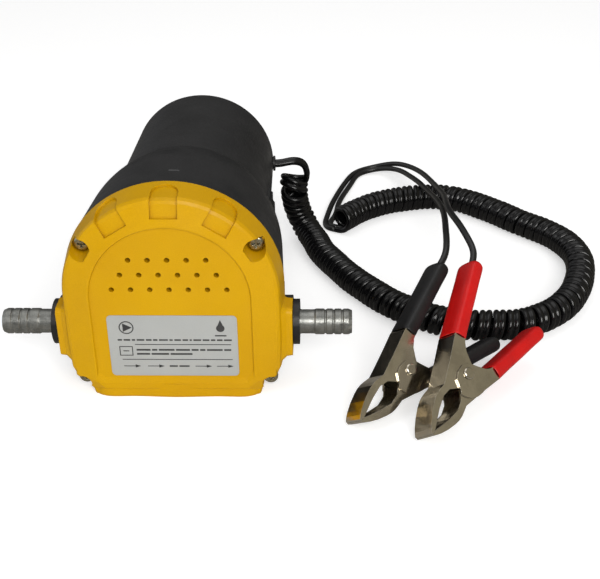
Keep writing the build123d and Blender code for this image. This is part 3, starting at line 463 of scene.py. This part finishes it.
def swept(name, path, wide, section, mat):
    """Closed section of (across, along wide) points swept along a path."""
    ahead = tangents(path)
    wide = wide - (wide * ahead).sum(1)[:, None] * ahead
    wide /= np.linalg.norm(wide, axis=1)[:, None]
    across = np.cross(wide, ahead)
    outline = np.array(section, float)
    verts = (path[:, None, :] + (outline[None, :, 0:1] * across[:, None, :]
                                 + outline[None, :, 1:2] * wide[:, None, :])).reshape(-1, 3)
    return mesh_object(name, verts, tube_faces(len(path), len(outline), flip=True), mat)


def circle(radius, count):
    return [(radius * math.cos(2 * math.pi * i / count), radius * math.sin(2 * math.pi * i / count))
            for i in range(count)]


def twin_section(half_neck=0.8, steps=10):
    """Two round cores joined by a thin neck."""
    cut = math.asin(half_neck / CORE_RADIUS)
    points = []
    for start, offset in ((math.pi - cut, CORE_OFFSET), (-cut, -CORE_OFFSET)):
        for i in range(steps + 1):
            a = start - (2 * math.pi - 2 * cut) * i / steps
            points.append((CORE_RADIUS * math.sin(a), offset + CORE_RADIUS * math.cos(a)))
    return points


# ---------------------------------------------------------------- coiled cord
# centre line of the coil (x, y, z), from the casing down and round the floor
COIL_CENTRE = [
    (53.2, 146.8, 44.0), (52.3, 143.8, 39.5), (52.3, 143.0, 34.0), (52.9, 144.3, 27.5),
    (54.4, 145.4, 21.0), (56.5, 145.7, 15.5), (58.9, 143.3, 11.3), (61.4, 138.1, 9.2),
    (64.5, 130.6, 8.4), (68.2, 117.8, 8.3), (76.4, 100.7, 8.3), (84.7, 85.4, 8.3),
    (95.5, 70.0, 8.3), (105.8, 57.4, 8.3), (116.0, 48.4, 8.3), (126.0, 41.6, 8.3),
    (138.5, 36.2, 8.3), (151.1, 34.4, 8.3), (161.5, 34.6, 8.3), (172.1, 36.0, 8.3),
    (183.4, 41.3, 8.3), (195.8, 52.0, 8.3), (204.5, 64.7, 8.3), (211.4, 81.3, 8.3),
    (215.1, 96.3, 8.3), (215.9, 110.7, 8.3), (212.4, 125.6, 8.3), (202.7, 141.2, 8.3),
    (189.6, 154.1, 8.3), (179.1, 166.0, 8.3), (168.1, 177.0, 8.3), (156.4, 186.2, 8.3),
    (144.0, 190.8, 8.3), (131.1, 190.7, 8.3), (118.1, 187.4, 8.3), (105.1, 181.6, 8.3),
    (95.4, 174.6, 8.3), (85.8, 164.6, 8.3), (80.2, 157.6, 8.3)]
# straight cord between the casing and the coil (x, y, z)
CORD_TAIL = [(38.5, 142.0, 53.0), (44.5, 142.1, 53.1), (50.0, 142.8, 53.9), (55.2, 144.4, 53.0),
             (58.6, 146.3, 49.4), (59.6, 147.0, 45.6)]
TAIL_STEP = 1.2
COIL_RADIUS = 6.42          # to the middle of the cord
CLOSED_PITCH = 6.84
OPEN_PITCH = 7.8            # limit where the coil is bent
TURN_STEPS = 30
COIL_FLOOR = 1.78           # lowest the middle of the coiled cord goes
RUN_OUT = (1.2, 2.6, 4.2)   # distances of the points after the last turn
RUN_OUT_Z = 1.85
SKIPPED = 5                 # helix points replaced by the joint with the tail


def coil_helix():
    """Cord middle through every turn, and the coil's axis direction at each point."""
    centre, arc = spline(COIL_CENTRE, step=0.25)
    axis = tangents(centre)
    side = carried(axis, (1.0, 0.0, 0.0))
    other = np.cross(side, axis)
    bend = np.linalg.norm(np.gradient(axis, arc, axis=0), axis=1)
    bend = np.convolve(np.pad(bend, 20, mode="edge"), np.ones(41) / 41, mode="valid")
    # extra pitch: one pulled-out stretch around 255 mm, and two slow ripples
    pull = (0.35 * np.exp(-((arc - 255.0) / 55.0) ** 2) + 0.16 * np.sin(arc / 9.0)
            + 0.10 * np.sin(arc / 3.7 + 1.0))
    opened = CLOSED_PITCH / np.maximum(0.3, 1 - 0.5 * COIL_RADIUS * bend)
    pitch = np.clip(opened, CLOSED_PITCH, OPEN_PITCH) + np.maximum(pull, 0.0)
    turn = np.concatenate([[0.0], np.cumsum(0.5 * (1 / pitch[1:] + 1 / pitch[:-1])
                                            * np.diff(arc))])
    # the last turn ends at the bottom of the coil, so that the cord leaves along the floor
    z_axis = np.array([0, 0, 1.0])
    down = np.arctan2(-(other[-1] @ z_axis), -(side[-1] @ z_axis))
    whole = round((2 * math.pi * turn[-1] - down) / (2 * math.pi))
    phase = 2 * math.pi * turn * ((2 * math.pi * whole + down) / (2 * math.pi * turn[-1]))
    fine_arc = np.linspace(0.0, arc[-1], int(phase[-1] / (2 * math.pi) * TURN_STEPS))

    def resampled(table):
        return np.stack([np.interp(fine_arc, arc, table[:, i]) for i in range(3)], 1)

    angle = np.interp(fine_arc, arc, phase)
    # slightly uneven turns, the first one wider
    radius = (COIL_RADIUS + 0.07 * np.sin(angle * 0.31) + 0.05 * np.sin(angle * 0.117 + 2.0)
              + 2.0 * np.exp(-angle / 2.2))
    helix = resampled(centre) + radius[:, None] * (
        np.cos(angle)[:, None] * resampled(side) + np.sin(angle)[:, None] * resampled(other))
    helix[:, 2] = np.maximum(helix[:, 2], COIL_FLOOR)
    return helix, resampled(axis)


def coiled_cord():
    """Tail, joint, coil and a short run-out in one sweep; returns the path."""
    helix, axis = coil_helix()
    tail, _ = spline(CORD_TAIL, TAIL_STEP)
    joint = hermite(tail[-1], (tail[-1] - tail[-2]) / TAIL_STEP * 7.0,
                    helix[SKIPPED], (helix[SKIPPED + 1] - helix[SKIPPED]) * 5.5, count=9)[1:-1]
    leaving = helix[-1] - helix[-2]
    run_out = np.array([helix[-1] + leaving / np.linalg.norm(leaving) * distance
                        for distance in RUN_OUT])
    run_out[:, 2] = RUN_OUT_Z
    path = np.vstack([tail, joint, helix[SKIPPED:], run_out])

    # the wide side turns from level on the tail to the coil's axis
    level = np.array((0.0, 1.0, 0.0))
    shares = [(i + 1) / (len(joint) + 1) for i in range(len(joint))]
    wide = np.vstack([np.tile(level, (len(tail), 1)),
                      [(1 - f) * level + f * -axis[SKIPPED] for f in shares],
                      -axis[SKIPPED:], np.tile(-axis[-1], (len(RUN_OUT), 1))])
    cord = swept("coil_cord_twin", path, wide, twin_section(), materials["cord_pvc"])
    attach(cord, "casing")
    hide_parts("coil_cord")
    return path


cord_path = coiled_cord()

# ---------------------------------------------------------------- leads to the clips
# each lead (x, y, z), from its clip to near the end of the coil
BLACK_LEAD = [
    (127.3, 26.5, 46.24), (128.46, 28.55, 47.37), (130.37, 31.92, 49.24), (132.4, 41.2, 52.2),
    (133.2, 53.6, 52.8), (134.4, 71.6, 50.6), (135.4, 92.0, 46.1), (135.6, 116.0, 39.4),
    (134.6, 140.0, 32.4), (132.8, 163.0, 25.8), (129.8, 187.0, 20.2), (124.6, 214.0, 13.6),
    (117.0, 236.5, 7.8), (106.5, 246.5, 3.6), (95.0, 243.4, 2.0), (88.3, 228.5, 2.0),
    (82.2, 207.5, 2.2), (78.2, 188.5, 2.4), (76.0, 174.5, 2.2)]
RED_LEAD = [
    (142.63, 20.33, 50.44), (143.34, 22.51, 51.66), (144.2, 26.12, 53.69), (142.6, 36.4, 57.2),
    (139.6, 50.1, 58.4), (137.4, 69.9, 55.2), (137.2, 91.4, 50.3), (138.2, 116.0, 43.8),
    (137.6, 140.0, 37.2), (136.2, 163.0, 30.7), (134.2, 187.0, 24.4), (130.8, 212.0, 17.6),
    (125.0, 234.0, 11.4), (114.5, 249.0, 6.2), (103.0, 252.0, 2.6), (92.5, 246.0, 2.0),
    (84.6, 230.5, 2.0), (78.4, 209.0, 2.2), (73.9, 189.5, 2.2), (71.4, 174.5, 2.0)]
LEAD_FLOOR = 1.66           # lowest the middle of a lead goes


def clip_lead(tint, points, core, leaving):
    """One round lead whose last two points meet the cord's core."""
    joint = [tuple(core + 4.0 * leaving + np.array((0, 0, 0.05))), tuple(core)]
    path, _ = spline(points + joint, step=1.6)
    path[:, 2] = np.maximum(path[:, 2], LEAD_FLOOR)
    wide = carried(tangents(path), (0.0, 0.0, 1.0))
    lead = swept(tint + "_lead_wire", path, wide, circle(CORE_RADIUS, 18), materials["lead_pvc"])
    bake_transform(lead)
    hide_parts(tint + "_lead")


def clip_leads():
    leaving = unit(cord_path[-1] - cord_path[-2])
    across = unit(np.cross(leaving, (0, 0, 1.0)))
    cores = [cord_path[-1] + CORE_OFFSET * across - leaving,
             cord_path[-1] - CORE_OFFSET * across - leaving]
    # the core further towards +Y goes to the black clip
    black_core, red_core = cores if cores[0][1] > cores[1][1] else cores[::-1]
    clip_lead("black", BLACK_LEAD, black_core, leaving)
    clip_lead("red", RED_LEAD, red_core, leaving)


clip_leads()

# ---------------------------------------------------------------- battery clips
# clip frames: origin on the rivet, u towards the grips, w along the rivet; v = w x u
CLIPS = {
    "red": ((133.883, -27.011, 18.008), (0.47, 0.83391, 0.28931), (0.56235, -0.53553, 0.63006)),
    "black": ((108.141, -18.615, 15.15), (0.6206, 0.74776, 0.23603), (0.5305, -0.62206, 0.57586)),
}
# upper grip in (u, v): start, direction along it, direction through its height
GRIP_START = np.array((11.5, 12.4))
GRIP_ALONG = np.array((0.9636, 0.267))
GRIP_HEIGHT = np.array((-GRIP_ALONG[1], GRIP_ALONG[0]))
GRIP_LENGTH = 44.6
END_RADIUS = 3.3
MOUTH_END = 3.2
SQUARENESS = 3.8
# rolled mouth from inside to outside (distance along, inset)
MOUTH = [(6.0, 0.74), (MOUTH_END, 0.74), (2.2, 0.73), (1.75, 0.60), (1.5, 0.34), (1.62, 0.10),
         (2.1, 0.0), (MOUTH_END, -0.02)]

SPRING_TURNS = 5.0
SPRING_RADIUS = 2.9
SPRING_HALF = 2.8           # half its length along the rivet
SPRING_WIRE = 0.44
SPRING_PIN = 2.7            # half the distance between its two blend points


def place(tint, points):
    """Clip frame (u, v, w) to the shared frame, in mm."""
    origin, u, w = (np.array(row, float) for row in CLIPS[tint])
    u /= np.linalg.norm(u)
    w = w - (w @ u) * u
    w /= np.linalg.norm(w)
    v = np.cross(w, u)
    points = np.array(points, float)
    return origin + points[:, 0:1] * u + points[:, 1:2] * v + points[:, 2:3] * w


def oval(half_width, half_height, power, count=44):
    """Squarish oval as (width, height) points; a power of 2 is an ellipse."""
    points = []
    for i in range(count):
        a = 2 * math.pi * (i + 0.5) / count
        c, d = math.cos(a), math.sin(a)
        points.append((half_width * math.copysign(abs(c) ** (2 / power), c),
                       half_height * math.copysign(abs(d) ** (2 / power), d)))
    return points


def grip_ring(along, inset, power=SQUARENESS):
    """One grip section drawn in by inset all round; the grip narrows towards its end."""
    taper = min(1.0, max(0.0, (along - 2.0) / (GRIP_LENGTH - END_RADIUS - 2.0)))
    outline = oval(7.0 - 0.28 * taper - inset, 3.95 - 0.17 * taper - inset, power)
    return [(along, height, width) for width, height in outline]


def grip(tint, which):
    """Dipped PVC grip: blunt rounded end, rolled mouth, soft waves along its length."""
    upper = which == "upper"
    rings = [grip_ring(along, inset) for along, inset in MOUTH]
    wave_phase = 0.7 if tint == "red" else 2.0
    for i in range(1, 30):
        f = i / 30
        # fuller before the middle, pinched near the end, with a slight wave
        inset = (0.07 * math.sin(math.pi * min(1, f / 0.55))
                 - 0.06 * math.exp(-((f - 0.93) / 0.09) ** 2))
        inset += 0.03 * math.sin(9.0 * f + wave_phase)
        rings.append(grip_ring(MOUTH_END + f * (GRIP_LENGTH - END_RADIUS - MOUTH_END), inset))
    for i in range(10):
        a = math.radians(90 * i / 9)
        rings.append(grip_ring(GRIP_LENGTH - END_RADIUS + END_RADIUS * math.sin(a),
                               END_RADIUS * (1 - math.cos(a)), SQUARENESS - 1.4 * math.sin(a)))
    # the upper end closes on the lead, the lower to a small flat (distance along, radius)
    tip = GRIP_LENGTH + 0.02
    closing = ((tip, 1.3), (GRIP_LENGTH - 0.6, 1.3)) if upper else ((tip, 0.9),)
    end_ring = rings[-1]
    for along, radius in closing:
        rings.append([(along, height / math.hypot(width, height) * radius,
                       width / math.hypot(width, height) * radius)
                      for _, height, width in end_ring])
    verts = []
    for ring in rings:
        for along, height, width in ring:
            u, v = GRIP_START + GRIP_ALONG * along + GRIP_HEIGHT * height
            verts.append((u, v if upper else -v, width))
    faces = tube_faces(len(rings), len(end_ring))
    if not upper:
        faces = [face[::-1] for face in faces]
    obj = mesh_object(f"{tint}_{which}_grip", place(tint, verts), faces, materials[tint + "_pvc"])
    obj.data.set_sharp_from_angle(angle=math.radians(60))
    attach(obj, f"{tint}_clip_upper" if upper else "casing")
    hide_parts(f"{tint}_clip_{which}_sleeve")


def torsion_spring(tint):
    """Lower arm, turns round the rivet, upper arm."""
    a = np.linspace(0, 2 * math.pi * SPRING_TURNS, 150)
    coil = np.stack([SPRING_RADIUS * np.cos(a), SPRING_RADIUS * np.sin(a),
                     -SPRING_HALF + 2 * SPRING_HALF * a / a[-1]], 1)
    steps = 14
    low_arm = np.stack([np.linspace(11.0, 3.3, steps), np.linspace(-12.2, -1.2, steps),
                        np.full(steps, -SPRING_HALF)], 1)
    high_arm = np.stack([np.linspace(3.3, 11.0, steps), np.linspace(-0.2, 12.2, steps),
                         np.full(steps, SPRING_HALF)], 1)
    path = place(tint, np.vstack([low_arm, coil[4:-3], high_arm]))
    spring = swept(tint + "_torsion_spring", path, carried(tangents(path), (0.0, 0.0, 1.0)),
                   circle(SPRING_WIRE, 10), materials["spring_wire"])
    low, high = place(tint, [(0, 0, -SPRING_PIN), (0, 0, SPRING_PIN)])
    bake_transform(spring)
    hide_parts(tint + "_clip_spring")


for tint in CLIPS:
    grip(tint, "upper")
    grip(tint, "lower")
    torsion_spring(tint)

# ---------------------------------------------------------------- label print
FILM_Y = -18.12
INK_BACK, INK_FACE = FILM_Y + 0.005, FILM_Y - 0.03
WORD_GAP = 0.75
ink_verts, ink_faces = [], []


def ink_shape(points):
    """A closed outline (x, z) as a thin raised film of ink."""
    count, base = len(points), len(ink_verts)
    for y in (INK_BACK, INK_FACE):
        ink_verts.extend((x, y, z) for x, z in points)
    ink_faces.append(tuple(range(base, base + count))[::-1])
    ink_faces.append(tuple(range(base + count, base + 2 * count)))
    for i in range(count):
        j = (i + 1) % count
        ink_faces.append((base + i, base + j, base + count + j, base + count + i))


def bar(x0, x1, z0, z1):
    ink_shape([(x0, z0), (x1, z0), (x1, z1), (x0, z1)])


def dashes(x0, x1, z, height, words):
    """A text line as plain dashes in word lengths."""
    letter = (x1 - x0 - WORD_GAP * (len(words) - 1)) / sum(words)
    x = x0
    for length in words:
        bar(x, x + length * letter, z - height / 2, z + height / 2)
        x += length * letter + WORD_GAP


def arc_points(x, z, radius, start, sweep, steps):
    """Points on an arc; start and sweep in degrees."""
    angles = [math.radians(start + sweep * i / steps) for i in range(steps + 1)]
    return [(x + radius * math.cos(a), z + radius * math.sin(a)) for a in angles]


def pump_symbol(x=-21.6, z=38.9, radius=3.5, line=0.55):
    """A ring, as two half outlines, with a solid pointer."""
    for start in (0, 180):
        outer = arc_points(x, z, radius, start, sweep=180, steps=40)
        inner = arc_points(x, z, radius - line, start, sweep=180, steps=40)
        ink_shape(outer + inner[::-1])
    ink_shape([(-23.3, 36.6), (-18.9, z), (-23.3, 41.2)])


def drop_symbol(x=22.6):
    """A drop over a bar."""
    ink_shape(arc_points(x, 38.6, radius=2.0, start=-230, sweep=280, steps=24) + [(x, 43.2)])
    bar(19.9, 25.3, 34.2, 34.9)


def frame_symbol(x0=-25.8, x1=-19.4, z0=23.3, z1=28.6, line=0.45):
    """A rectangular frame with a short bar inside."""
    bar(x0, x1, z0, z0 + line)
    bar(x0, x1, z1 - line, z1)
    bar(x0, x0 + line, z0 + line, z1 - line)
    bar(x1 - line, x1, z0 + line, z1 - line)
    bar(-24.0, -21.2, 25.7, 26.2)


def arrow(x0, tip, z):
    bar(x0, tip - 1.6, z - 0.2, z + 0.2)
    ink_shape([(tip - 2.6, z - 0.9), (tip, z), (tip - 2.6, z + 0.9)])


def label_print():
    pump_symbol()
    drop_symbol()
    dashes(-26.2, 27.7, z=32.1, height=0.85,
           words=(4, 6, 3, 7, 5, 4, 8, 3, 6, 5, 2, 7, 6, 4, 5, 7))
    bar(-18.2, 27.3, 29.40, 29.80)
    dashes(-17.7, 27.2, z=26.6, height=0.95, words=(8, 3, 9, 8, 4, 3, 9, 4))
    dashes(-17.7, 8.7, z=24.3, height=0.95, words=(6, 8, 10))
    frame_symbol()
    bar(-24.8, 27.7, 21.0, 21.40)
    row_z = 17.42
    for x0, tip in ((-24.4, -16.3), (-13.0, -5.0), (9.7, 17.7), (20.0, 28.0)):
        arrow(x0, tip, row_z)
    dashes(-2.6, 6.9, z=row_z, height=0.85, words=(4, 5))
    ink = mesh_object("label_print", ink_verts, ink_faces, materials["label_ink"], smooth=False)
    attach(ink, "casing")


label_print()


# ---------------------------------------------------------------- moulding mark
def moulding_mark(start_x=-1.9, length=6.6, middle_y=14.4, stations=14):
    """A small rib along X on top of the casing, following its arc, with faded ends; its grey is
    lighter than the casing, a painted highlight.
    """
    arc_z, arc_radius = 53.5, 51.1
    foot = -0.25
    profile = ((-0.62, foot), (-0.4, 0.10), (0.0, 0.24), (0.4, 0.10), (0.62, foot))  # (y, z)
    verts = []
    for i in range(stations):
        x = start_x + length * i / (stations - 1)
        ends = min(1.0, min(i, stations - 1 - i) / 2.0)
        top = arc_z + math.sqrt(arc_radius ** 2 - x * x)
        for y, z in profile:
            verts.append((x, middle_y + y * (0.4 + 0.6 * ends), top + (z - foot) * ends + foot))
    # painted highlight: the rib is given a lighter grey than the casing
    mat = surface("moulding_mark", tones=((66, 66, 68), (56, 56, 58)), rough=(0.36, 0.46),
                  mottle=300.0, grain=1700.0, depth=0.01, rounding=0.1)
    mark = mesh_object("moulding_mark", verts, tube_faces(stations, len(profile)), mat)
    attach(mark, "casing")


moulding_mark()


# ---------------------------------------------------------------- floor
def paper_floor():
    """Near white to the camera, light grey to diffuse rays, fading to dark in reflections."""
    s = Shader("paper_floor")
    ray = s.new("ShaderNodeLightPath").outputs
    pale = s.mix(s.ranged(s.noise(scale=14.0), span=(0.3, 0.7)),
                 linear((246, 246, 246)), linear((249, 249, 249)))
    away = s.new("ShaderNodeVectorMath", operation="LENGTH")
    s.put(away.inputs[0], s.coords)
    reflected = s.mix(s.ranged(away.outputs["Value"], span=(0.30, 0.75)),
                      linear((150, 147, 141)), linear((20, 20, 19)))
    seen = s.mix(ray["Is Camera Ray"], pale, linear((214, 214, 214)))
    glow = s.math("MULTIPLY", ray["Is Camera Ray"], 0.52)
    return s.finish(Base_Color=s.mix(ray["Is Glossy Ray"], seen, reflected), Roughness=0.9,
                    Specular_IOR_Level=0.1,
                    Normal=s.bump(s.noise(scale=900.0, detail=2.0), 0.01 * MM),
                    Emission_Color=(1.0, 1.0, 1.0, 1.0), Emission_Strength=glow)


HALF = 6000.0
floor = mesh_object("floor", [(-HALF, -HALF, 0), (HALF, -HALF, 0), (HALF, HALF, 0),
                              (-HALF, HALF, 0)], [(0, 1, 2, 3)], paper_floor(), smooth=False)


# ---------------------------------------------------------------- world
def studio_world():
    """Separate surroundings for reflections, for diffuse light and for the camera."""
    world = bpy.data.worlds.new("studio")
    bpy.context.scene.world = world
    w = Nodes(world)
    out = w.new("ShaderNodeOutputWorld")
    ray = w.new("ShaderNodeLightPath").outputs
    direction = w.separate(w.new("ShaderNodeTexCoord").outputs["Generated"])

    def background(colour, strength=1.0):
        node = w.new("ShaderNodeBackground")
        w.put(node.inputs[0], colour)
        w.put(node.inputs[1], strength)
        return node.outputs[0]

    def choose(factor, first, second):
        node = w.new("ShaderNodeMixShader")
        for socket, value in zip(node.inputs, (factor, first, second)):
            w.put(socket, value)
        return node.outputs[0]

    # reflections: dark low down to grey overhead, warm grey wall at +X, bright one at -X
    ramp = w.new("ShaderNodeValToRGB")
    stops = ramp.color_ramp.elements
    stops[0].position = 0.0
    stops[0].color = (0.02, 0.02, 0.02, 1)
    stops[1].position = 1.0
    stops[1].color = (0.42, 0.41, 0.39, 1)
    stops.new(0.30).color = (0.06, 0.06, 0.055, 1)
    w.put(ramp.inputs[0], direction["Z"])
    right = w.ranged(direction["X"], span=(0.35, 0.95))
    walls = w.mix(right, ramp.outputs[0], (0.30, 0.275, 0.21, 1))
    left = w.ranged(direction["X"], span=(-0.35, -0.9))
    walls = w.mix(left, walls, (0.75, 0.75, 0.76, 1))
    glossy = background(walls)

    # diffuse light: strongest from -Y, a little more from +X
    front = w.ranged(direction["Y"], span=(-1.0, 1.0), to=(0.60, 0.20))
    strength = w.math("MULTIPLY_ADD", direction["X"], 0.14, front)
    white = (1.0, 1.0, 1.0, 1)
    light = choose(ray["Is Glossy Ray"], background(white, strength), glossy)
    w.put(out.inputs[0], choose(ray["Is Camera Ray"], light, background(white)))


studio_world()


# ---------------------------------------------------------------- lights and camera
def softbox(name, location, target, size, watts, colour=(1, 1, 1)):
    """A rectangular area light aimed at target; metres."""
    data = bpy.data.lights.new(name, "AREA")
    data.shape = "RECTANGLE"
    data.size, data.size_y = size
    data.energy = watts
    data.color = colour
    obj = bpy.data.objects.new(name, data)
    bpy.context.scene.collection.objects.link(obj)
    obj.location = location
    obj.rotation_mode = "QUATERNION"
    aim = Vector(target) - Vector(location)
    obj.rotation_quaternion = aim.to_track_quat("-Z", "Y")


softbox("key", location=(0.35, -1.05, 0.75), target=(0.06, 0.03, 0.04), size=(0.75, 0.55),
        watts=12.5, colour=(1.0, 0.985, 0.96))
softbox("fill", location=(-0.75, -0.55, 0.70), target=(0.05, 0.03, 0.04), size=(0.60, 0.60),
        watts=1.8)
softbox("top", location=(0.05, 0.25, 1.15), target=(0.06, 0.05, 0.0), size=(0.90, 0.90),
        watts=2.4)

scene = bpy.context.scene
scene.view_settings.view_transform = "Standard"
scene.view_settings.look = "None"


def add_camera(location, yaw, pitch, roll, lens):
    """Camera looking along +Y, turned by yaw, tipped down by pitch and rolled, in degrees."""
    data = bpy.data.cameras.new("camera")
    data.sensor_width = 36.0
    data.lens = lens
    data.clip_start, data.clip_end = 0.02, 50.0
    cam = bpy.data.objects.new("camera", data)
    scene.collection.objects.link(cam)
    yaw, pitch, roll = (math.radians(angle) for angle in (yaw, pitch, roll))
    ahead = Vector((math.sin(yaw) * math.cos(pitch), math.cos(yaw) * math.cos(pitch),
                    -math.sin(pitch)))
    level = Vector((math.cos(yaw), -math.sin(yaw), 0.0))
    upright = level.cross(ahead)
    right = level * math.cos(roll) + upright * math.sin(roll)
    up = -level * math.sin(roll) + upright * math.cos(roll)
    matrix = cam.matrix_world.copy()
    for i in range(3):
        matrix[i] = right[i], up[i], -ahead[i], location[i]
    cam.matrix_world = matrix
    scene.camera = cam


add_camera(location=(0.07452, -0.45323, 0.30935), yaw=-1.9, pitch=29.84, roll=-0.85, lens=66.0)

bpy.context.view_layer.update()
